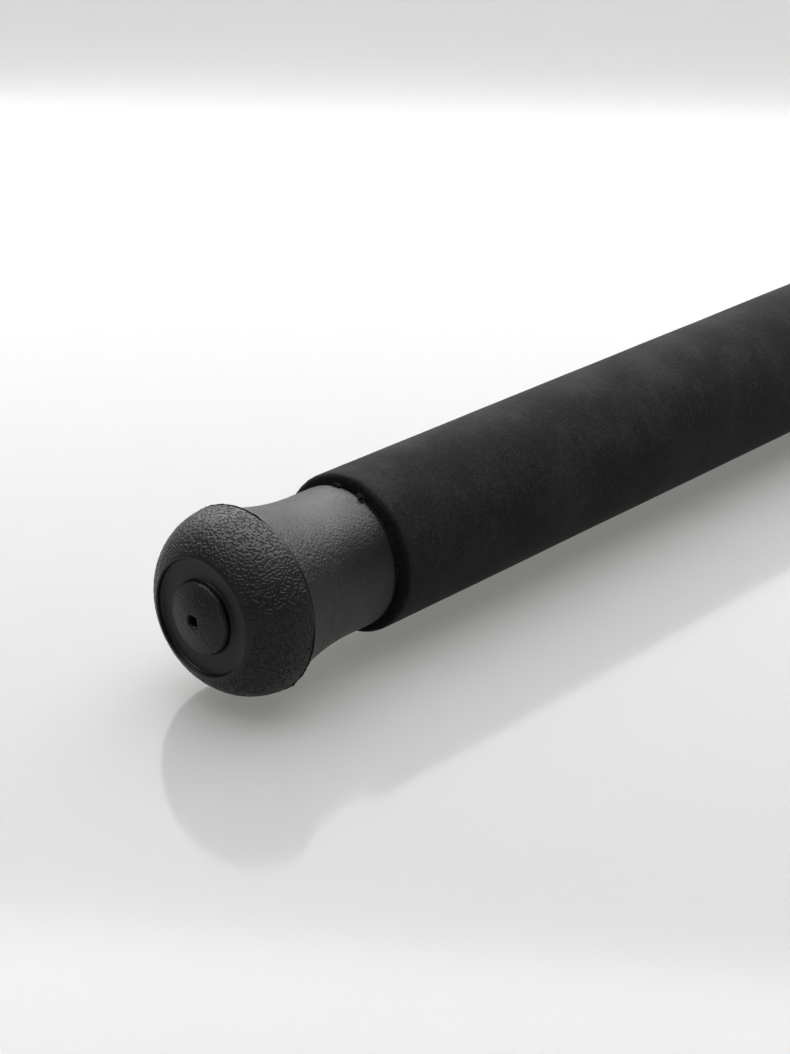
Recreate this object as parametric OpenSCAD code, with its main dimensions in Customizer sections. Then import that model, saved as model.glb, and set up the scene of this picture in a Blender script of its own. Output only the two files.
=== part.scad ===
// Devil stick: the baton of a juggling set, a glass-fibre tube in a foam sleeve
// with a moulded rubber knob screwed to a wooden plug in each end.
// Millimetres. The stick lies along X, +Z is up, and the origin is its balance point.
// End A is at -X and end B at +X; both ends are the same.

/* [Stick] */
// Length from the tip of one knob to the tip of the other
stick_len = 650; // [500:10:800]

/* [Foam sleeve] */
// Outside diameter of the sleeve
sleeve_d = 30; // [28:0.5:36]
// Wall thickness of the sleeve
sleeve_wall = 2.5; // [2:0.1:4]
// Rounding on the outer edge of each cut end
sleeve_edge = 0.9; // [0.3:0.1:1.2]

/* [Core tube] */
// Wall thickness of the glass-fibre tube
tube_wall = 1.5; // [1:0.1:2.5]

/* [End knob] */
// Largest diameter of the knob, at its mould parting line
knob_d = 34; // [33:0.5:40]
// Length of knob that shows, from its tip to the sleeve
knob_len = 38; // [36:1:46]
// Distance from the tip to the mould parting line
parting_at = 12; // [11:0.5:13]
// Step down from the front half to the neck half at the parting line
parting_step = 0.5; // [0.2:0.1:0.8]
// Diameter of the neck where it meets the sleeve
neck_d = 26.5; // [26:0.1:27.5]
// Length of straight neck next to the sleeve
neck_straight = 7.5; // [6:0.5:9]
// Rounding at the sleeve end of the neck
neck_edge = 1.8; // [1:0.1:2]

/* [Knob tip] */
// Diameter of the round recess in the tip
recess_d = 21; // [20:0.5:23]
// Distance from the tip to the rim of the recess
rim_at = 1.7; // [1.4:0.1:2]
// Width of the flat land on the rim
rim_land = 0.2; // [0.1:0.1:0.5]
// Depth of the recess below its rim
recess_depth = 1.1; // [1:0.1:1.6]
// Diameter of the domed boss in the recess
boss_d = 13.1; // [12.5:0.1:14.5]
// Height of the crown on the boss
boss_crown = 1.4; // [1:0.1:1.6]
// Diameter of the hole through the boss, which a screwdriver reaches through
driver_hole_d = 2.3; // [2:0.1:3]

/* [Plug and screw] */
// Diameter of the plug's nose, which carries the knob
nose_d = 16; // [14:0.5:17]
// Length of the plug inside the tube
plug_grip = 35; // [25:1:50]
// Outside diameter of the screw's thread
screw_d = 4; // [3.5:0.5:4.5]
// Length of the screw under its head
screw_len = 30; // [25:1:32]
// Outside diameter of the washer
washer_d = 9; // [9:0.5:10]

/* [Tapes] */
// Width of each wrap of bonding tape under the sleeve
bond_width = 60; // [30:5:80]
// Distance from the end of the sleeve to the nearest bonding tape
bond_inset = 6; // [4:1:20]
// Thickness of the bonding tape
bond_thick = 0.2; // [0.1:0.1:0.3]
// Width of the tape band that marks the balance point
band_width = 30; // [20:5:50]
// Thickness of the band
band_thick = 0.35; // [0.2:0.05:0.5]
// Depth to which the tightly wound band presses into the foam
band_sink = 0.5; // [0.4:0.05:0.8]

/* [Hidden] */
$fn = 96;
EPS = 0.01;

sleeve_r = sleeve_d / 2;
sleeve_len = stick_len - 2 * knob_len;
tube_r = sleeve_r - sleeve_wall;
tube_bore_r = tube_r - tube_wall;
knob_r = knob_d / 2;
neck_r = neck_d / 2;
recess_floor_at = rim_at + recess_depth;

// radius of an arc that starts along the axis and moves off it by rise over len
function arc_radius(len, rise) = (pow(len, 2) + pow(rise, 2)) / (2 * rise);

// the front is one arc, from the parting line to the rim of the recess
front_arc = arc_radius(parting_at - rim_at, knob_r - recess_d / 2 - rim_land);
// the neck flares on one arc, from its straight part to the parting line
flare_len = knob_len - parting_at - neck_straight;
flare_end = parting_at + flare_len;
flare_arc = arc_radius(flare_len, knob_r - parting_step - neck_r);
// middle of the bonding tape near each end
bond_x = sleeve_len / 2 - bond_inset - bond_width / 2;
// the boss is a slice of a sphere
boss_r = boss_d / 2;
crown_r = arc_radius(boss_r, boss_crown);

// distances from the tip, inside the knob
chamber_at = 5.5;
web_at = 10;
web_thick = 4;
web_end = web_at + web_thick;
chamber_r = washer_d / 2 + 0.5;
washer_thick = 1;
head_r = screw_d;
head_h = 0.65 * screw_d;
head_at = web_at - washer_thick - head_h;
screw_clear_r = screw_d / 2 + 0.2;
nose_r = nose_d / 2;

thread_pitch = 1.8;
core_r = 0.7 * screw_d / 2;
point_len = 4;
thread_from = web_end + 1;
shank_end = web_at - washer_thick + screw_len;
turns = floor((shank_end - point_len - thread_from) / thread_pitch);

ENDS = ["a", "b"];

// Puts a piece drawn up +Z from a knob's tip at end A or end B of the stick.
module at_end(end) {
    mirror([end == "b" ? 1 : 0, 0, 0])
        translate([-stick_len / 2, 0, 0])
            rotate([0, 90, 0])
                children();
}

// A round pipe along X, centred at x.
module pipe_x(x, len, outer_r, inner_r) {
    translate([x - len / 2, 0, 0])
        rotate([0, 90, 0])
            difference() {
                cylinder(h = len, r = outer_r);
                translate([0, 0, -1])
                    cylinder(h = len + 2, r = inner_r);
            }
}

// Half outline of a solid bar with rounded outer edges; X is the radius, Y the length.
module bar_outline(len, r, edge) {
    square([r - edge, len]);
    translate([0, edge])
        square([r, len - 2 * edge]);
    for (y = [edge, len - edge])
        translate([r - edge, y])
            circle(r = edge);
}

// Glass-fibre tube that gives the stick its stiffness.
module core_tube() {
    color([0.14, 0.15, 0.14])
        pipe_x(0, sleeve_len, tube_r, tube_bore_r);
}

// Foam sleeve: rounded ends, shallow seats for the bonding tape, a waist under the band.
module foam_sleeve() {
    seat_r = tube_r + bond_thick;
    color([0.10, 0.10, 0.10])
        difference() {
            translate([-sleeve_len / 2, 0, 0])
                rotate([0, 90, 0])
                    rotate_extrude()
                        bar_outline(sleeve_len, sleeve_r, sleeve_edge);
            pipe_x(0, sleeve_len + 2, tube_r, 0);
            for (x = [-bond_x, 0, bond_x])
                pipe_x(x, bond_width, seat_r, 0);
            pipe_x(0, band_width, sleeve_r + 1, sleeve_r - band_sink);
        }
}

// One wrap of double-sided tape between the tube and the sleeve.
module bond_tape(x) {
    color([0.75, 0.72, 0.62])
        pipe_x(x, bond_width, tube_r + bond_thick, tube_r);
}

// Band of cloth tape that marks the balance point.
module centre_band() {
    band_r = sleeve_r - band_sink;
    color([0.16, 0.16, 0.17])
        pipe_x(0, band_width, band_r + band_thick, band_r);
}

// Half outline of the knob's outer shape, from its tip up +Y.
module knob_outline() {
    // domed front, on an arc that is widest at the parting line
    intersection() {
        translate([knob_r - front_arc, parting_at])
            circle(r = front_arc);
        translate([0, rim_at])
            square([knob_r, parting_at - rim_at]);
    }
    // flared neck, then a straight stretch with a rounded shoulder
    difference() {
        translate([0, parting_at - 1])
            square([knob_r - parting_step, knob_len - parting_at + 1]);
        translate([neck_r + flare_arc, flare_end])
            circle(r = flare_arc, $fn = 360);
        translate([neck_r, flare_end])
            square([knob_r, knob_len]);
        translate([neck_r - neck_edge, knob_len - neck_edge])
            difference() {
                square(neck_edge + 1);
                circle(r = neck_edge);
            }
    }
}

// Half outline of the domed boss that stands in the recess.
module boss_outline() {
    intersection() {
        translate([0, crown_r])
            circle(r = crown_r, $fn = 360);
        square([boss_r, recess_floor_at + EPS]);
    }
}

// Moulded rubber knob with its recess, boss, driver hole, screw chamber and socket.
module end_knob(end) {
    color([0.13, 0.13, 0.14])
        at_end(end)
            difference() {
                rotate_extrude()
                    intersection() {
                        difference() {
                            union() {
                                knob_outline();
                                boss_outline();
                            }
                            translate([boss_r, -1])
                                square([recess_d / 2 - boss_r, recess_floor_at + 1]);
                        }
                        square([knob_r + 1, knob_len]);
                    }
                translate([0, 0, -1])
                    cylinder(h = chamber_at + 2, d = driver_hole_d);
                translate([0, 0, chamber_at])
                    cylinder(h = web_at - chamber_at, r = chamber_r);
                translate([0, 0, web_at - 1])
                    cylinder(h = web_thick + 2, r = screw_clear_r);
                translate([0, 0, web_end])
                    cylinder(h = knob_len - web_end + 1, r = nose_r);
            }
}

// Turned wooden plug: body glued in the tube, nose inside the knob.
module end_plug(end) {
    color([0.76, 0.60, 0.40])
        at_end(end)
            difference() {
                union() {
                    translate([0, 0, web_end])
                        cylinder(h = knob_len - web_end + 1, r = nose_r);
                    translate([0, 0, knob_len])
                        cylinder(h = plug_grip, r = tube_bore_r);
                }
                translate([0, 0, web_end - 1])
                    cylinder(h = shank_end - web_end + 2, d = screw_d);
            }
}

// Flat steel washer that spreads the screw's load on the rubber web.
module knob_washer(end) {
    color([0.72, 0.73, 0.75])
        at_end(end)
            translate([0, 0, web_at - washer_thick])
                difference() {
                    cylinder(h = washer_thick, d = washer_d);
                    translate([0, 0, -1])
                        cylinder(h = washer_thick + 2, r = screw_clear_r);
                }
}

// Pan-head wood screw with a cross recess; its thread is drawn as rings.
module knob_screw(end) {
    slot_w = 0.25 * screw_d;
    slot_depth = 0.6 * head_h;
    neck_len = thread_from - head_at - head_h;
    color([0.66, 0.67, 0.70])
        at_end(end)
            difference() {
                union() {
                    translate([0, 0, head_at])
                        rotate_extrude()
                            intersection() {
                                bar_outline(2 * head_h, head_r, head_h / 2);
                                square([head_r, head_h]);
                            }
                    translate([0, 0, head_at + head_h - EPS])
                        cylinder(h = neck_len + EPS, r = 0.9 * screw_d / 2);
                    translate([0, 0, thread_from - EPS])
                        cylinder(h = shank_end - point_len - thread_from + EPS, r = core_r);
                    translate([0, 0, shank_end - point_len - EPS])
                        cylinder(h = point_len, r1 = core_r, r2 = 0.2);
                    for (turn = [0 : turns - 1])
                        translate([0, 0, thread_from + turn * thread_pitch])
                            rotate_extrude()
                                polygon([
                                    [0, 0],
                                    [core_r, 0],
                                    [screw_d / 2, thread_pitch / 2],
                                    [core_r, thread_pitch - 0.1],
                                    [0, thread_pitch - 0.1]
                                ]);
                }
                for (angle = [0, 90])
                    translate([0, 0, head_at - EPS])
                        rotate([0, 0, angle])
                            translate([-head_r * 0.6, -slot_w / 2, 0])
                                cube([head_r * 1.2, slot_w, slot_depth]);
            }
}

core_tube();
foam_sleeve();
centre_band();
bond_tape(-bond_x);  // bond_tape_a
bond_tape(bond_x);  // bond_tape_b
bond_tape(0);  // bond_tape_centre
for (end = ENDS) {
    end_knob(end);
    end_plug(end);
    knob_washer(end);
    knob_screw(end);
}
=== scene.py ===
# %% [markdown]
# # Devil stick
# A devil stick is the baton that a juggler keeps in the air with two hand sticks. This one is a stiff
# tube in a sleeve of black foam, with a moulded rubber knob on each end. The sizes of its hard pieces
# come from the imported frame. This script gives the soft and moulded pieces their real surfaces, and
# gives every piece a finish.

import math

import bmesh
import bpy
from mathutils import Euler, Matrix, Vector, noise


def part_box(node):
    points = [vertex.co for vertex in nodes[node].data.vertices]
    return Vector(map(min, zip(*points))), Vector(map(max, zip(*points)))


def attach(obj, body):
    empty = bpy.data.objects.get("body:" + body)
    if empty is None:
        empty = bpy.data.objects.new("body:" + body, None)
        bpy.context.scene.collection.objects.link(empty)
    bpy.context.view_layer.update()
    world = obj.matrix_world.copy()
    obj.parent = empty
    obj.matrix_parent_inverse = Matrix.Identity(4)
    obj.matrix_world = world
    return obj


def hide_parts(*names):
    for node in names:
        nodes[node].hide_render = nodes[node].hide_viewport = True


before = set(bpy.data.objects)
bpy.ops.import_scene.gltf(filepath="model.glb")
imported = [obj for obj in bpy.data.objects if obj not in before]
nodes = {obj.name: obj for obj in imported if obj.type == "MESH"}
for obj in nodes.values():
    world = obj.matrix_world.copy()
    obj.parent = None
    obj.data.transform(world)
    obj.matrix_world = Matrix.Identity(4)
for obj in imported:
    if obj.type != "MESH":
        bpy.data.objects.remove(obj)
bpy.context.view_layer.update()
MM = 0.001
print("nodes in the frame:", len(nodes))

# %% [markdown]
# ## Sizes
# The frame says where each piece starts and ends. Everything on a knob is measured from its tip, so a
# knob can be drawn once and set at either end. What the frame can't say, such as how round an edge is,
# is a named value beside the piece that uses it. A knob hides part of itself in the tube, so the
# length that shows of it is one of those values.

# %% Read the main sizes from the frame
KNOB_LEN = 38 * MM

_, knob_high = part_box("end_knob_a")
sleeve_low, sleeve_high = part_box("foam_sleeve")
_, tube_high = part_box("core_tube")
tape_low, tape_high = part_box("bond_tape_a")
_, band_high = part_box("centre_band")

knob_r = knob_high.z
sleeve_r = sleeve_high.z
tip_x = sleeve_low.x - KNOB_LEN
print("stick length in mm:", round(-2 * tip_x / MM, 1))

# %% [markdown]
# ## The view
# The camera comes early, so that every piece can be judged from it. It looks down along the stick
# from beside the near knob, through a long lens that keeps the round end close to a true ellipse.

# %% Set the camera
CAMERA_FROM_TIP = Vector((-250.25, -266.2, 171.1)) * MM
CAMERA_PITCH = math.radians(90 - 22.92)
CAMERA_HEADING = math.radians(-48.58)
LENS_MM = 81.73

camera_data = bpy.data.cameras.new("camera")
camera = bpy.data.objects.new("camera", camera_data)
bpy.context.scene.collection.objects.link(camera)
camera_data.lens = LENS_MM
camera_data.sensor_width = 36
camera_data.clip_start = 0.01
camera.location = Vector((tip_x, 0, 0)) + CAMERA_FROM_TIP
camera.rotation_euler = Euler((CAMERA_PITCH, 0, CAMERA_HEADING))
bpy.context.scene.camera = camera
print("camera to tip in mm:", round(CAMERA_FROM_TIP.length / MM))

# %% [markdown]
# ## Drawing an outline
# Every big piece here is round, so each is an outline that turns about the stick's axis. The outline
# is drawn in the XY plane, X along the stick and Y the radius. A straight stretch is one edge. A round
# stretch is a single vertex that `spin` carries round a centre, because a spun vertex leaves an arc.
# Drawing with operators keeps the outline to the few numbers that a maker would write down.

# %% A pen that draws outlines
class Pen:
    """Draws a wire outline: lines with extrude, arcs with spin."""

    def __init__(self, x, r):
        self.bm = bmesh.new()
        self.start = self.bm.verts.new((x, r, 0))
        self.tip = self.start

    def line(self, x, r):
        """A straight edge to (x, r)."""
        made = bmesh.ops.extrude_vert_indiv(self.bm, verts=[self.tip])
        self.tip = made["verts"][0]
        self.tip.co = Vector((x, r, 0))
        return self

    def arc(self, x, r, bend, steps):
        """An arc to (x, r) of radius bend. A positive bend has its centre on the left of the way."""
        here, there = self.tip.co.copy(), Vector((x, r, 0))
        chord = there - here
        left = Vector((-chord.y, chord.x, 0)).normalized()
        reach = math.sqrt(max(bend * bend - chord.length_squared / 4, 0))
        centre = (here + there) / 2 + left * math.copysign(reach, bend)
        turn = 2 * math.asin(min(1, chord.length / 2 / abs(bend)))
        made = bmesh.ops.spin(
            self.bm, geom=[self.tip], cent=centre, axis=(0, 0, 1),
            angle=math.copysign(turn, bend), steps=steps,
        )
        self.tip = [g for g in made["geom_last"] if isinstance(g, bmesh.types.BMVert)][0]
        return self

    def close(self):
        """Joins the outline's end to its start."""
        self.bm.edges.new((self.tip, self.start))
        return self.bm


# %% Turn an outline into a round body
def divide(bm, pitch, wanted=lambda middle: True):
    """Cuts the outline's wanted edges into pieces no longer than pitch."""
    for edge in list(bm.edges):
        cuts = math.ceil(edge.calc_length() / pitch) - 1
        middle = (edge.verts[0].co + edge.verts[1].co) / 2
        if cuts > 0 and wanted(middle):
            bmesh.ops.subdivide_edges(bm, edges=[edge], cuts=cuts)


def turn(bm, steps):
    """Spins a closed outline once round the stick's axis, faces outwards."""
    bmesh.ops.spin(
        bm, geom=list(bm.verts) + list(bm.edges), cent=(0, 0, 0), axis=(1, 0, 0),
        angle=math.tau, steps=steps, use_merge=True,
    )
    bmesh.ops.remove_doubles(bm, verts=list(bm.verts), dist=1e-7)
    bmesh.ops.recalc_face_normals(bm, faces=list(bm.faces))


def make_object(bm, name, sharp_degrees=50):
    """Writes a bmesh to a new object at the origin, smooth except at its sharp corners."""
    mesh = bpy.data.meshes.new(name)
    bm.to_mesh(mesh)
    bm.free()
    mesh.shade_smooth()
    mesh.set_sharp_from_angle(angle=math.radians(sharp_degrees))
    piece = bpy.data.objects.new(name, mesh)
    bpy.context.scene.collection.objects.link(piece)
    print(name, "has", len(mesh.polygons), "faces")
    return piece


# %% [markdown]
# ## The rubber knob
# The knob is one moulding. Its front is a flattened bulb with a round recess in the end, and a domed
# boss in the recess with a small hole. Behind the widest line the neck flares down to the sleeve. The
# two halves of the mould meet at that widest line. They never meet exactly, so the neck starts a
# little lower than the bulb, and a thin fin of flash stands at the joint. Inside are the chamber of
# the screw, the web that it pulls on, and the socket for the plug.

# %% Sizes on the knob, from its tip
HOLE_R = 1.15 * MM
HOLE_EDGE = 0.18 * MM
HOLE_LIP = 0.12 * MM
BOSS_R = 6.55 * MM
BOSS_CROWN = 1.4 * MM
BOSS_EDGE = 0.7 * MM
BOSS_TURN_IN = 0.12 * MM
BOSS_TURN_DOWN = 0.45 * MM
BOSS_DRAFT = 0.1 * MM
RECESS_R = 10.45 * MM
RECESS_FLOOR = 2.8 * MM
RECESS_FILLET = 0.6 * MM
FOOT_FILLET = 0.3 * MM
RIM_AT = 1.7 * MM
RIM_ROUND = 0.3 * MM
RIM_DROP = 0.16 * MM
PARTING_AT = 12 * MM
PARTING_STEP = 0.5 * MM
FLASH_HEIGHT = 0.12 * MM
FLASH_WIDTH = 0.16 * MM
SEAM_DEPTH = 0.5 * MM
SEAM_WIDTH = 0.3 * MM
NECK_R = 13.25 * MM
NECK_STRAIGHT = 7.5 * MM
NECK_EDGE = 1.8 * MM
SOCKET_R = 8 * MM
WEB_AT = 10 * MM
WEB_END = 14 * MM
WEB_HOLE_R = 2.2 * MM
CHAMBER_AT = 5.5 * MM
CHAMBER_R = 5 * MM
print("recess depth in mm:", round((RECESS_FLOOR - RIM_AT) / MM, 2))


def arc_radius(length, rise):
    """Radius of an arc that starts along the axis and moves off it by rise over length."""
    return (length ** 2 + rise ** 2) / (2 * rise)


# %% Draw the knob's outline
def knob_outline():
    """The knob's closed outline, tip at X = 0."""
    crown_radius = arc_radius(BOSS_R, BOSS_CROWN)
    hole_edge = HOLE_R ** 2 / 2 / crown_radius
    flare_end = KNOB_LEN - NECK_STRAIGHT
    front_radius = arc_radius(PARTING_AT - RIM_AT, knob_r - RECESS_R - RIM_ROUND / 2)
    flare_radius = arc_radius(flare_end - PARTING_AT, knob_r - PARTING_STEP - NECK_R)
    step_r = knob_r - PARTING_STEP
    wall_r = BOSS_R + BOSS_DRAFT
    pen = Pen(hole_edge + HOLE_LIP, HOLE_R)
    pen.arc(hole_edge + HOLE_LIP / 3, HOLE_R + HOLE_EDGE, -0.2 * MM, 3)
    pen.arc(BOSS_CROWN - BOSS_TURN_IN, BOSS_R - BOSS_EDGE, -crown_radius, 24)
    pen.arc(BOSS_CROWN + BOSS_TURN_DOWN, BOSS_R, -BOSS_EDGE, 6)
    pen.line(RECESS_FLOOR - FOOT_FILLET, wall_r)
    pen.arc(RECESS_FLOOR, wall_r + FOOT_FILLET, FOOT_FILLET, 3)
    pen.line(RECESS_FLOOR, RECESS_R - RECESS_FILLET)
    pen.arc(RECESS_FLOOR - RECESS_FILLET, RECESS_R, RECESS_FILLET, 6)
    pen.arc(RIM_AT + RIM_DROP, RECESS_R + RIM_ROUND, -RIM_ROUND, 5)
    pen.arc(PARTING_AT - SEAM_WIDTH, knob_r, -front_radius, 64)
    pen.line(PARTING_AT - 0.9 * SEAM_WIDTH, knob_r - SEAM_DEPTH)
    pen.line(PARTING_AT - 0.1 * SEAM_WIDTH, knob_r - SEAM_DEPTH)
    pen.line(PARTING_AT, knob_r)
    pen.line(PARTING_AT + FLASH_WIDTH, knob_r)
    pen.line(PARTING_AT + FLASH_WIDTH, step_r)
    pen.arc(flare_end, NECK_R, flare_radius, 64)
    pen.line(KNOB_LEN - NECK_EDGE, NECK_R)
    pen.arc(KNOB_LEN, NECK_R - NECK_EDGE, -NECK_EDGE, 10)
    pen.line(KNOB_LEN, SOCKET_R)
    pen.line(WEB_END, SOCKET_R)
    pen.line(WEB_END, WEB_HOLE_R)
    pen.line(WEB_AT, WEB_HOLE_R)
    pen.line(WEB_AT, CHAMBER_R)
    pen.line(CHAMBER_AT, CHAMBER_R)
    pen.line(CHAMBER_AT, HOLE_R)
    return pen.close()


def knob_shows(middle):
    """True for the recess floor, the bulb and the neck, and not for what is inside."""
    return middle.y > SOCKET_R + 0.5 * MM and middle.x < KNOB_LEN - NECK_EDGE


# %% [markdown]
# ## Moulded grain
# The mould is etched, so the rubber comes out with a leather grain: low pebbles about a millimetre
# across. A Voronoi pattern gives their shape. Close to a border between two cells the nearest and
# second nearest cell centres are equally far, so their difference falls to zero along a net of
# hollows. The vertices sink into that net. What is finer than the mesh comes from the material, and
# two attributes tell it where: `leather` is the coarse etching of the bulb, and `tooth` the fine one
# of the neck and the boss, which fades towards the sleeve.

# %% The shape of the grain
PEBBLE = 0.9 * MM
GRAIN_SEED = 7

# noise_vector takes its offsets from the clock until a seed is set
noise.seed_set(GRAIN_SEED)


def smooth(value, low, high):
    """Goes from 0 at low to 1 at high without a kink."""
    share = min(1, max(0, (value - low) / (high - low)))
    return share * share * (3 - 2 * share)


def pebbles(place, size):
    """1 on top of a pebble, 0 in a hollow."""
    scaled = place / size
    bent = scaled + 0.45 * noise.noise_vector(0.8 * scaled)
    nearest, second = noise.voronoi(bent)[0][:2]
    return smooth(second - nearest, 0.0, 0.6)


print("pebbles across the bulb:", round(2 * knob_r / PEBBLE))

# %% [markdown]
# ## Marks of the mould
# The halves of the mould meet askew. They press tight on two sides, and gape on the other two,
# where an open seam and a ragged fin of flash are left. Both are drawn all the way round in the
# outline. How far they open is a number from the angle, so the seam narrows to a hair where the mould
# was tight. The fin has two torn nubs, where the flash was pulled off by hand.

# %% The opening of the mould
GAPE_AT = math.radians(55)
GAPE_UNEVEN = 1.8 * MM
# angle in degrees, height, spread in degrees
FLASH_NUBS = [(227, 0.28 * MM, 1.6), (102, 0.15 * MM, 2.0)]


def gape(around, place):
    """How far the mould stood open at this angle, from 0.05 to 1."""
    askew = smooth(abs(math.cos(around - GAPE_AT)), 0.45, 0.85)
    uneven = noise.noise(place / GAPE_UNEVEN)
    return max(0.05 + 0.1 * max(0, uneven), min(1, askew * (0.85 + 0.6 * uneven)))


def nub(around):
    """Height of the torn bits of flash at this angle."""
    height = 0
    for degrees, rise, spread in FLASH_NUBS:
        off = math.degrees(math.remainder(around - math.radians(degrees), math.tau))
        height += rise * math.exp(-(off / spread) ** 2)
    return height


print("nubs of flash:", len(FLASH_NUBS))

# %% Press grain and marks into a knob
PEBBLE_RISE = 0.04 * MM
GRAIN_FROM = RECESS_R + 0.4 * MM
GRAIN_FULL = RECESS_R + 1.6 * MM
NECK_FADE = 17 * MM
HOLE_WOBBLE = 0.16
HOLE_UNEVEN = 1.1 * MM
FLASH_UNEVEN = 0.8 * MM
SPARE = 1e-6


def mould_surface(bm):
    """Presses grain, seam and flash into a knob whose tip is at X = 0."""
    leather = bm.verts.layers.float.new("leather")
    tooth = bm.verts.layers.float.new("tooth")
    bm.normal_update()
    moves = []
    for vert in bm.verts:
        x, r = vert.co.x, math.hypot(vert.co.y, vert.co.z)
        around = math.atan2(vert.co.z, vert.co.y)
        spoke = Vector((0, vert.co.y, vert.co.z)).normalized()
        place = vert.co.copy()
        move = Vector((0, 0, 0))
        ahead = PARTING_AT - x
        if r < 1.25 * HOLE_R and x < CHAMBER_AT:
            corners = 1.2 * noise.noise(place / HOLE_UNEVEN) - 0.6 * math.cos(4 * around)
            move = spoke * r * HOLE_WOBBLE * corners
        elif r < BOSS_R and x < BOSS_CROWN + BOSS_EDGE:
            vert[tooth] = 0.8
        elif r > RECESS_R + RIM_ROUND / 2 and ahead > SEAM_WIDTH - SPARE:
            vert[leather] = smooth(r, GRAIN_FROM, GRAIN_FULL)
            rise = pebbles(place, PEBBLE) - 1
            move = vert.normal * PEBBLE_RISE * vert[leather] * rise
        elif 0 < ahead < SEAM_WIDTH and knob_r - 1.1 * SEAM_DEPTH < r < knob_r - 0.01 * MM:
            move = spoke * (knob_r - r) * (1 - gape(around, place))
        elif -FLASH_WIDTH - SPARE < ahead < SPARE and r > knob_r - 0.1 * MM:
            ragged = smooth(noise.noise(place / FLASH_UNEVEN), -0.5, 0.4)
            move = spoke * (FLASH_HEIGHT * ragged * gape(around, place) + nub(around))
        elif ahead < 0 and r > NECK_R - NECK_EDGE / 2:
            vert[tooth] = 1 - 0.5 * smooth(-ahead, 0.25 * NECK_FADE, NECK_FADE)
        moves.append((vert, move))
    for vert, move in moves:
        vert.co += move


# %% Make both knobs
KNOB_PITCH = 0.28 * MM
STEPS_ROUND = 340

bm = knob_outline()
divide(bm, KNOB_PITCH, knob_shows)
turn(bm, STEPS_ROUND)
mould_surface(bm)
bmesh.ops.translate(bm, verts=list(bm.verts), vec=(tip_x, 0, 0))
knob_a = make_object(bm, "rubber_knob_a", 60)
knob_b = bpy.data.objects.new("rubber_knob_b", knob_a.data.copy())
knob_b.data.transform(Matrix.Rotation(math.pi, 4, "Z"))
bpy.context.scene.collection.objects.link(knob_b)
knobs = {"end_knob_a": knob_a, "end_knob_b": knob_b}
for node, knob in knobs.items():
    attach(knob, "root")
    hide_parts(node)

# %% [markdown]
# ## The foam sleeve
# The sleeve is a tube of closed-cell foam, cut square and slid over the core. It isn't a turned part:
# its wall is a little uneven, the blade leaves its end slightly ragged, and its outer edge has worn
# round. So it is spun like the knob, and then its vertices drift by a slow noise all over and by a
# quick one near the cut ends. Its bore keeps clear of the tube and the tapes.

# %% Sizes of the sleeve
SLEEVE_EDGE = 0.9 * MM
BORE_CLEAR = 0.06 * MM
BAND_CLEAR = 0.04 * MM
WAIST_DEEP = 0.5 * MM
SHOULDER = 0.25 * MM
SHOULDER_LEN = 0.6 * MM
SHOULDER_ROUND = 0.9 * MM

bore_r = tube_high.z + BORE_CLEAR
seat_r = tape_high.z + BORE_CLEAR
seat_len = tape_high.x - tape_low.x
waist_r = sleeve_r - WAIST_DEEP
band_half = band_high.x
print("foam wall in mm:", round((sleeve_r - bore_r) / MM, 2))


# %% Draw the sleeve's outline
def sleeve_outline():
    """The sleeve's closed outline, with a waist under the band and seats for the tapes."""
    end = sleeve_high.x
    pen = Pen(-end, seat_r)
    pen.line(-end, sleeve_r - SLEEVE_EDGE)
    pen.arc(-end + SLEEVE_EDGE, sleeve_r, -SLEEVE_EDGE, 7)
    pen.line(-band_half - SHOULDER_LEN, sleeve_r)
    pen.arc(-band_half, sleeve_r - SHOULDER, -SHOULDER_ROUND, 4)
    pen.line(-band_half, waist_r)
    pen.line(band_half, waist_r)
    pen.line(band_half, sleeve_r - SHOULDER)
    pen.arc(band_half + SHOULDER_LEN, sleeve_r, -SHOULDER_ROUND, 4)
    pen.line(end - SLEEVE_EDGE, sleeve_r)
    pen.arc(end, sleeve_r - SLEEVE_EDGE, -SLEEVE_EDGE, 7)
    pen.line(end, seat_r)
    pen.line(end - seat_len, seat_r)
    pen.line(end - seat_len, bore_r)
    pen.line(seat_len / 2, bore_r)
    pen.line(seat_len / 2, seat_r)
    pen.line(-seat_len / 2, seat_r)
    pen.line(-seat_len / 2, bore_r)
    pen.line(-end + seat_len, bore_r)
    pen.line(-end + seat_len, seat_r)
    return pen.close()


def sleeve_shows(middle):
    """True for the skin and the cut ends."""
    return middle.y > sleeve_r - 0.1 * MM or abs(middle.x) > sleeve_high.x - 0.1 * MM


# %% Wear the foam and make the sleeve
SLEEVE_STEPS = 144
SLEEVE_PITCH = 0.95 * MM
UNEVEN = 0.07 * MM
UNEVEN_SIZE = 22 * MM
RAGGED = 0.09 * MM
RAGGED_SIZES = (1.6 * MM, 0.5 * MM)
RAGGED_REACH = 2.5 * MM


def wear_foam(bm):
    """Uneven wall, ragged cut ends."""
    for vert in bm.verts:
        r = math.hypot(vert.co.y, vert.co.z)
        if r < (seat_r + waist_r) / 2:
            continue
        spoke = Vector((0, vert.co.y, vert.co.z)) / r
        near_end = smooth(sleeve_high.x - abs(vert.co.x), RAGGED_REACH, 0.0)
        slow = noise.noise(vert.co / UNEVEN_SIZE)
        wide, narrow = (noise.noise(vert.co / size) for size in RAGGED_SIZES)
        quick = wide + 0.6 * narrow
        inward = -abs(quick) * RAGGED * near_end
        vert.co += spoke * (UNEVEN * (slow - 0.6) + inward)
        vert.co.x += inward * math.copysign(1.0, vert.co.x)


bm = sleeve_outline()
divide(bm, SLEEVE_PITCH, sleeve_shows)
turn(bm, SLEEVE_STEPS)
wear_foam(bm)
sleeve = make_object(bm, "foam_sleeve_skin")
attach(sleeve, "root")
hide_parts("foam_sleeve")

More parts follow.
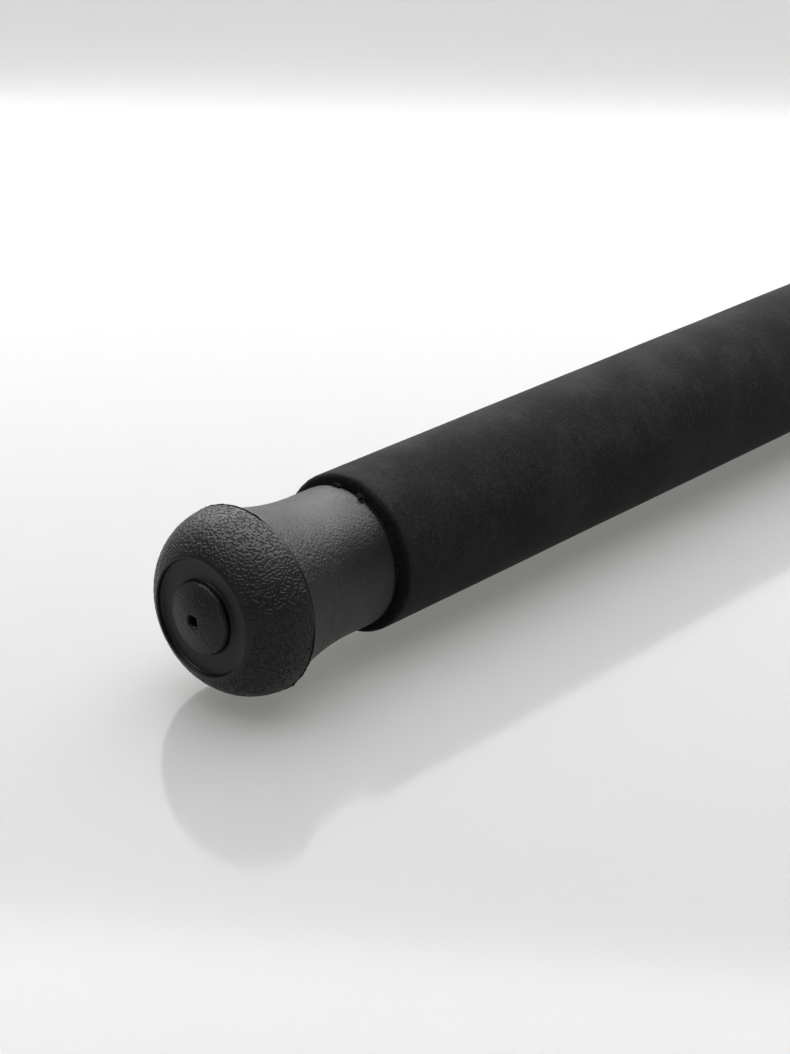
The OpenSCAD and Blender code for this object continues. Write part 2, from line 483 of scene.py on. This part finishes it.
# %% [markdown]
# ## The centre band
# Jugglers mark the balance point with cloth tape. Tape is wound, so its radius grows by its own
# thickness over one turn and drops at its cut end. The spun ring gets that spiral from the angle of
# each vertex. Its UV map is the tape laid flat, in millimetres, so that the weave follows the tape.

# %% Wind the band
BAND_STEPS = 256
BAND_PITCH = 1.0 * MM
TAPE_THICK = 0.3 * MM
TAPE_EDGE = 0.12 * MM
EDGE_DROP = 0.1 * MM
EDGE_LEN = 0.15 * MM


def wind(vert, inner):
    """Lifts an outer vertex by the share of a turn that the tape has made there."""
    r = math.hypot(vert.co.y, vert.co.z)
    if r > inner + 0.1 * MM:
        share = (math.atan2(vert.co.z, vert.co.y) / math.tau + 0.3) % 1
        spoke = Vector((0, vert.co.y, vert.co.z)) / r
        vert.co -= spoke * TAPE_THICK * (1 - share) * 0.8


band_inner = waist_r + BAND_CLEAR
band_edge = band_half - BAND_CLEAR
pen = Pen(-band_edge, band_inner)
pen.line(-band_edge, band_high.z - EDGE_DROP)
pen.arc(-band_half + EDGE_LEN, band_high.z, -TAPE_EDGE, 3)
pen.line(band_half - EDGE_LEN, band_high.z)
pen.arc(band_edge, band_high.z - EDGE_DROP, -TAPE_EDGE, 3)
pen.line(band_edge, band_inner)
bm = pen.close()
divide(bm, BAND_PITCH)
turn(bm, BAND_STEPS)
for vert in bm.verts:
    wind(vert, band_inner)
flat = bm.loops.layers.uv.new("tape")
for face in bm.faces:
    centre = face.calc_center_median()
    middle = math.atan2(centre.z, centre.y)
    for loop in face.loops:
        around = math.atan2(loop.vert.co.z, loop.vert.co.y)
        around = middle + math.remainder(around - middle, math.tau)
        loop[flat].uv = (around * band_high.z / MM, loop.vert.co.x / MM)
band = make_object(bm, "cloth_band")
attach(band, "root")
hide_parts("centre_band")

# %% [markdown]
# ## Crumbs at the sleeve's end
# A few crumbs of foam and glue stay where the sleeve was pushed up to the knob. Each is a small ball
# that noise has knocked out of shape, set into the gap on the neck by its angle.

# %% Place the crumbs
# angle in degrees, size, distance from the tip
CRUMBS = [
    (85.5, 1.1 * MM, 36.9 * MM),
    (89, 0.9 * MM, 36.7 * MM),
    (109, 1.1 * MM, 37.1 * MM),
    (112, 1.2 * MM, 36.7 * MM),
    (115, 0.6 * MM, 36.4 * MM),
    (122, 0.4 * MM, 37.3 * MM),
]

bm = bmesh.new()
for degrees, size, from_tip in CRUMBS:
    angle = math.radians(degrees)
    ball = bmesh.ops.create_icosphere(bm, subdivisions=3, radius=size / 2)["verts"]
    for vert in ball:
        bump = noise.noise(vert.co / (0.3 * MM) + Vector((degrees, 0, 0)))
        vert.co *= 1 + 0.7 * bump
        vert.co.x *= 0.8
    out = NECK_R + 0.1 * size - 0.4 * max(0, from_tip - KNOB_LEN + 1.2 * MM)
    spot = Vector((tip_x + from_tip, out * math.cos(angle), out * math.sin(angle)))
    bmesh.ops.translate(bm, verts=ball, vec=spot)
crumbs = make_object(bm, "foam_crumbs")
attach(crumbs, "root")

# %% [markdown]
# ## Writing materials
# A finish is a small network of nodes. Three helpers keep each one readable: one starts a material
# and gives back its shader, one adds a node with its settings, and one joins an output to an input.
# Patterns read Object coordinates, which are metres here, so a noise scale of 1000 is about one
# feature to the millimetre.

# %% Helpers for materials
class Finish:
    """A node material being written."""

    def __init__(self, name, roughness, **sockets):
        self.material = bpy.data.materials.new(name)
        self.material.use_nodes = True
        self.tree = self.material.node_tree
        self.shader = self.tree.nodes["Principled BSDF"]
        self.shader.inputs["Roughness"].default_value = roughness
        for socket, value in sockets.items():
            self.shader.inputs[socket.replace("_", " ")].default_value = value
        self.place = self.add("ShaderNodeTexCoord").outputs["Object"]

    def add(self, kind, **settings):
        """A node; capitalised settings are its inputs, the others its properties."""
        node = self.tree.nodes.new(kind)
        for key, value in settings.items():
            if key[0].isupper():
                self.feed(node.inputs[key.replace("_", " ")], value)
            else:
                setattr(node, key, value)
        return node

    def feed(self, socket, value):
        """Joins an output to a socket, or sets a plain value."""
        if isinstance(value, bpy.types.NodeSocket):
            self.tree.links.new(value, socket)
        else:
            socket.default_value = value

    def noise(self, per_metre, detail=3.0, roughness=0.55, place=None):
        made = self.add(
            "ShaderNodeTexNoise", Vector=place or self.place, Scale=per_metre,
            Detail=detail, Roughness=roughness,
        )
        return made.outputs["Fac"]

    def stretch(self, x, y, z, place=None):
        """Coordinates scaled apart along X, Y and Z."""
        made = self.add("ShaderNodeMapping", Vector=place or self.place, Scale=(x, y, z))
        return made.outputs["Vector"]

    def ramp(self, value, low, high, start=0.0, end=1.0):
        """Brings a value's range low..high to start..end, and holds it there."""
        made = self.add(
            "ShaderNodeMapRange", Value=value, interpolation_type="SMOOTHSTEP",
        )
        for index, number in ((1, low), (2, high), (3, start), (4, end)):
            made.inputs[index].default_value = number
        return made.outputs["Result"]

    def mix(self, share, dark, light):
        """A colour between two, by share."""
        made = self.add("ShaderNodeMix", data_type="RGBA")
        for index, value in ((0, share), (6, dark), (7, light)):
            self.feed(made.inputs[index], value)
        return made.outputs[2]

    def sum(self, first, second, operation="ADD"):
        made = self.add("ShaderNodeMath", operation=operation)
        self.feed(made.inputs[0], first)
        self.feed(made.inputs[1], second)
        return made.outputs[0]

    def bump(self, height, distance, strength=1.0, under=None):
        """Bends the surface by a height in metres; under is another bump below it."""
        made = self.add("ShaderNodeBump", Height=height, Distance=distance, Strength=strength)
        if under is not None:
            self.feed(made.inputs["Normal"], under)
        return made.outputs["Normal"]

    def colour(self, value):
        self.feed(self.shader.inputs["Base Color"], value)

    def roughness(self, value):
        self.feed(self.shader.inputs["Roughness"], value)

    def normal(self, value):
        self.feed(self.shader.inputs["Normal"], value)

    def paint(self, *pieces):
        """Gives the material to these pieces."""
        for piece in pieces:
            piece.data.materials.clear()
            piece.data.materials.append(self.material)
        print("finish", self.material.name, "on", len(pieces))


# %% [markdown]
# ## Moulded rubber
# Black rubber is dark but never flat. On the bulb, short creases curl between worm-like islands. They
# are the valleys of a noise, and a ramp cuts its tops off level, because the etching left them alone.
# The neck and the boss have a much finer tooth, drawn out round the neck by the file that finished
# the mould. The creases hold a bloom of dust that stays dull, and the tops are a little burnished.

# %% Rubber
RUBBER_DARK = (0.0018, 0.0019, 0.0023, 1)
RUBBER_DUSTY = (0.0048, 0.0049, 0.0057, 1)
CREASE_DEEP = 0.12 * MM
TOOTH_DEEP = 0.2 * MM
MICRO_DEEP = 0.006 * MM

rubber = Finish("rubber", 0.5, Specular_IOR_Level=0.35)
leather = rubber.add("ShaderNodeAttribute", attribute_name="leather").outputs["Fac"]
tooth = rubber.add("ShaderNodeAttribute", attribute_name="tooth").outputs["Fac"]
clouds = rubber.noise(160, detail=4)
worms = rubber.noise(2100, detail=0)
coarse = rubber.ramp(worms, 0.32, 0.58)
fine = rubber.noise(2300, detail=1.5)
filed = rubber.noise(1, detail=2, place=rubber.stretch(4000, 1000, 1000))
micro = rubber.noise(5000, detail=1)

rubber.colour(rubber.mix(rubber.ramp(clouds, 0.3, 0.72), RUBBER_DARK, RUBBER_DUSTY))
in_crease = rubber.sum(leather, rubber.sum(1.0, coarse, "SUBTRACT"), "MULTIPLY")
burnish = rubber.ramp(in_crease, 0.0, 1.0, 0.4, 0.7)
rubber.roughness(rubber.sum(burnish, rubber.ramp(clouds, 0.35, 0.65, -0.03, 0.05)))
teeth = rubber.sum(tooth, rubber.sum(fine, filed), "MULTIPLY")
pressed = rubber.bump(rubber.sum(leather, coarse, "MULTIPLY"), CREASE_DEEP)
pressed = rubber.bump(teeth, TOOTH_DEEP, under=pressed)
rubber.normal(rubber.bump(micro, MICRO_DEEP, under=pressed))
rubber.paint(knob_a, knob_b)

# %% [markdown]
# ## Black foam
# Closed-cell foam is matt all through. Cutting opens its cells, so its skin is a felt of tiny pits
# that catches light at a low angle, which a little sheen gives. Handling adds soft scuffs round the
# stick, and a few pale specks of dust sit in the pits.

# %% Foam
FOAM_DARK = (0.002, 0.0019, 0.0019, 1)
FOAM_WORN = (0.0115, 0.0103, 0.0105, 1)
FOAM_DUST = (0.065, 0.06, 0.06, 1)

foam = Finish(
    "foam", 0.92, Specular_IOR_Level=0.12, Sheen_Weight=0.1, Sheen_Roughness=0.4,
    Sheen_Tint=(0.98, 0.88, 0.9, 1),
)
cells = foam.noise(3600, detail=2, roughness=0.6)
felt = foam.noise(1500, detail=3, roughness=0.7)
patches = foam.noise(85, detail=5, roughness=0.6)
scuffs = foam.noise(1, detail=4, place=foam.stretch(700, 130, 130))
worn = foam.sum(foam.ramp(patches, 0.4, 0.7, 0.0, 0.5), foam.ramp(scuffs, 0.5, 0.75, 0.0, 0.35))
worn = foam.sum(worn, foam.ramp(felt, 0.3, 0.7, -0.2, 0.4))
worn = foam.sum(worn, foam.ramp(cells, 0.35, 0.65, -0.15, 0.3))
dust = foam.sum(foam.ramp(cells, 0.62, 0.72), foam.ramp(felt, 0.5, 0.7, 0.0, 0.7), "MULTIPLY")
foam.colour(foam.mix(dust, foam.mix(worn, FOAM_DARK, FOAM_WORN), FOAM_DUST))
foam.normal(foam.bump(cells, 0.06 * MM, under=foam.bump(felt, 0.07 * MM)))
foam.roughness(foam.ramp(patches, 0.3, 0.7, 0.96, 0.86))
foam.paint(sleeve, crumbs)

# %% [markdown]
# ## Cloth tape
# Cloth tape is a plain weave under a thin skin of plastic, so its threads show as a low satin relief.
# Two bands of waves on the tape's own UV map, one along and one across it, make the weave.

# %% Tape on the band
THREADS_PER_MM = 1.7
TAPE_DARK = (0.004, 0.004, 0.0045, 1)
TAPE_WORN = (0.011, 0.011, 0.012, 1)

tape = Finish("black_cloth_tape", 0.5, Specular_IOR_Level=0.3)
flat = tape.add("ShaderNodeUVMap", uv_map="tape").outputs["UV"]
split = tape.add("ShaderNodeSeparateXYZ", Vector=flat)


def thread(coordinate):
    """A row of threads: the height of a sine across them."""
    angle = tape.sum(coordinate, math.tau * THREADS_PER_MM, "MULTIPLY")
    return tape.sum(angle, 0.0, "SINE")


weave = tape.sum(thread(split.outputs["X"]), thread(split.outputs["Y"]), "MULTIPLY")
slub = tape.noise(600, detail=4)
tape.colour(tape.mix(tape.ramp(weave, -1.0, 1.0), TAPE_DARK, TAPE_WORN))
tape.roughness(tape.ramp(slub, 0.3, 0.7, 0.46, 0.62))
tape.normal(tape.bump(weave, 0.05 * MM, under=tape.bump(slub, 0.03 * MM)))
tape.paint(band)

# %% [markdown]
# ## What is inside
# The tube, plugs, screws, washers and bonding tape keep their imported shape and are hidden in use, but
# each still has the finish of its real stock: drawn fibres along the tube, growth rings in the turned
# plugs, brushed zinc on the screws, and crinkled paper on the tape.

# %% Inner finishes
fibre = Finish("drawn_glass_fibre", 0.3, Specular_IOR_Level=0.5, Coat_Weight=0.3)
strands = fibre.noise(1, detail=4, place=fibre.stretch(12, 2600, 2600))
resin, glass = (0.012, 0.013, 0.012, 1), (0.05, 0.052, 0.05, 1)
fibre.colour(fibre.mix(fibre.ramp(strands, 0.3, 0.7), resin, glass))
fibre.normal(fibre.bump(strands, 0.03 * MM))
fibre.roughness(fibre.ramp(strands, 0.3, 0.7, 0.25, 0.42))
fibre.paint(nodes["core_tube"])

beech = Finish("turned_beech", 0.55)
drift = beech.noise(60, detail=3)
rings = beech.add(
    "ShaderNodeTexWave", Vector=beech.stretch(20, 260, 260), Scale=1.0, Distortion=3.0,
    Detail=2.0, bands_direction="Z",
)
flecks = beech.noise(1, detail=3, place=beech.stretch(260, 2400, 2400))
late, early, ray = (0.42, 0.25, 0.12, 1), (0.6, 0.41, 0.23, 1), (0.25, 0.13, 0.06, 1)
board = beech.mix(rings.outputs["Fac"], late, early)
beech.colour(beech.mix(beech.ramp(flecks, 0.62, 0.72, 0.0, 0.7), board, ray))
beech.roughness(beech.ramp(drift, 0.3, 0.7, 0.48, 0.66))
beech.normal(beech.bump(flecks, 0.04 * MM))
beech.paint(nodes["end_plug_a"], nodes["end_plug_b"])

zinc = Finish("zinc_plate", 0.3, Metallic=1.0)
mottle = zinc.noise(900, detail=3)
brushed = zinc.noise(1, detail=2, place=zinc.stretch(9000, 700, 700))
zinc.colour(zinc.mix(zinc.ramp(mottle, 0.3, 0.7), (0.5, 0.52, 0.56, 1), (0.68, 0.69, 0.7, 1)))
zinc.roughness(zinc.ramp(mottle, 0.3, 0.7, 0.22, 0.4))
zinc.normal(zinc.bump(brushed, 0.008 * MM))
zinc.paint(*(nodes[kind + end] for kind in ("knob_screw_", "knob_washer_") for end in "ab"))

crepe = Finish("crepe_paper_tape", 0.75)
crinkle = crepe.noise(1, detail=3, place=crepe.stretch(1400, 420, 420))
crepe.colour(crepe.mix(crepe.ramp(crinkle, 0.3, 0.7), (0.5, 0.42, 0.26, 1), (0.66, 0.58, 0.4, 1)))
crepe.roughness(crepe.ramp(crinkle, 0.3, 0.7, 0.65, 0.85))
crepe.normal(crepe.bump(crinkle, 0.08 * MM))
crepe.paint(*(nodes["bond_tape_" + place] for place in ("a", "b", "centre")))

# %% [markdown]
# ## The table and the light
# The stick lies on both knobs on a polished white table. The one strong light is a wide soft box above
# and behind it, which lights the top of the neck, leaves the side towards the viewer in shade, and
# throws a soft shadow forwards. The table is cast acrylic, and its surface is given a faint warm
# painted glow of its own, so no shadow on it is ever quite dark.

# %% Lay the table
TABLE_HALF = 12.0

bm = bmesh.new()
bmesh.ops.create_grid(bm, x_segments=1, y_segments=1, size=TABLE_HALF)
bmesh.ops.translate(bm, verts=list(bm.verts), vec=(0, 0, -knob_r))
table = make_object(bm, "table")
# the table's emission is a painted glow, warm and even, that lifts every shadow on it
gloss = Finish(
    "polished_white_painted_glow", 0.1, Base_Color=(0.22, 0.222, 0.227, 1), Specular_IOR_Level=0.22,
    Subsurface_Weight=1.0, Subsurface_Scale=0.05, Subsurface_Radius=(1, 1, 0.95),
    Emission_Color=(1, 0.985, 0.93, 1), Emission_Strength=0.19,
)
haze = gloss.noise(2.5, detail=1)
gloss.roughness(gloss.ramp(haze, 0.3, 0.7, 0.09, 0.12))
gloss.paint(table)


# %% Hang the lights
def soft_box(name, place, aim, size, watts):
    """A square area light at place that faces aim."""
    light = bpy.data.lights.new(name, "AREA")
    light.shape = "RECTANGLE"
    light.size, light.size_y = size
    light.energy = watts
    lamp = bpy.data.objects.new(name, light)
    lamp.location = place
    lamp.rotation_euler = (Vector(place) - Vector(aim)).to_track_quat("Z", "Y").to_euler()
    bpy.context.scene.collection.objects.link(lamp)


KEY_FROM_KNOB = Vector((1.28, 0.96, 0.85))
KEY_WATTS = 33
TOP_FROM_KNOB = Vector((0.3, 0.2, 1.2))
TOP_WATTS = 54

near_knob = Vector((tip_x + 0.05, 0, 0))
soft_box("key", near_knob + KEY_FROM_KNOB, near_knob, (4.0, 1.2), KEY_WATTS)
soft_box("top", near_knob + TOP_FROM_KNOB, near_knob, (2.0, 2.0), TOP_WATTS)

world = bpy.data.worlds.new("white_room")
world.use_nodes = True
sky = world.node_tree.nodes["Background"]
sky.inputs["Color"].default_value = (0.95, 0.97, 1.0, 1)
sky.inputs["Strength"].default_value = 0.25
bpy.context.scene.world = world
bpy.context.scene.view_settings.view_transform = "Standard"
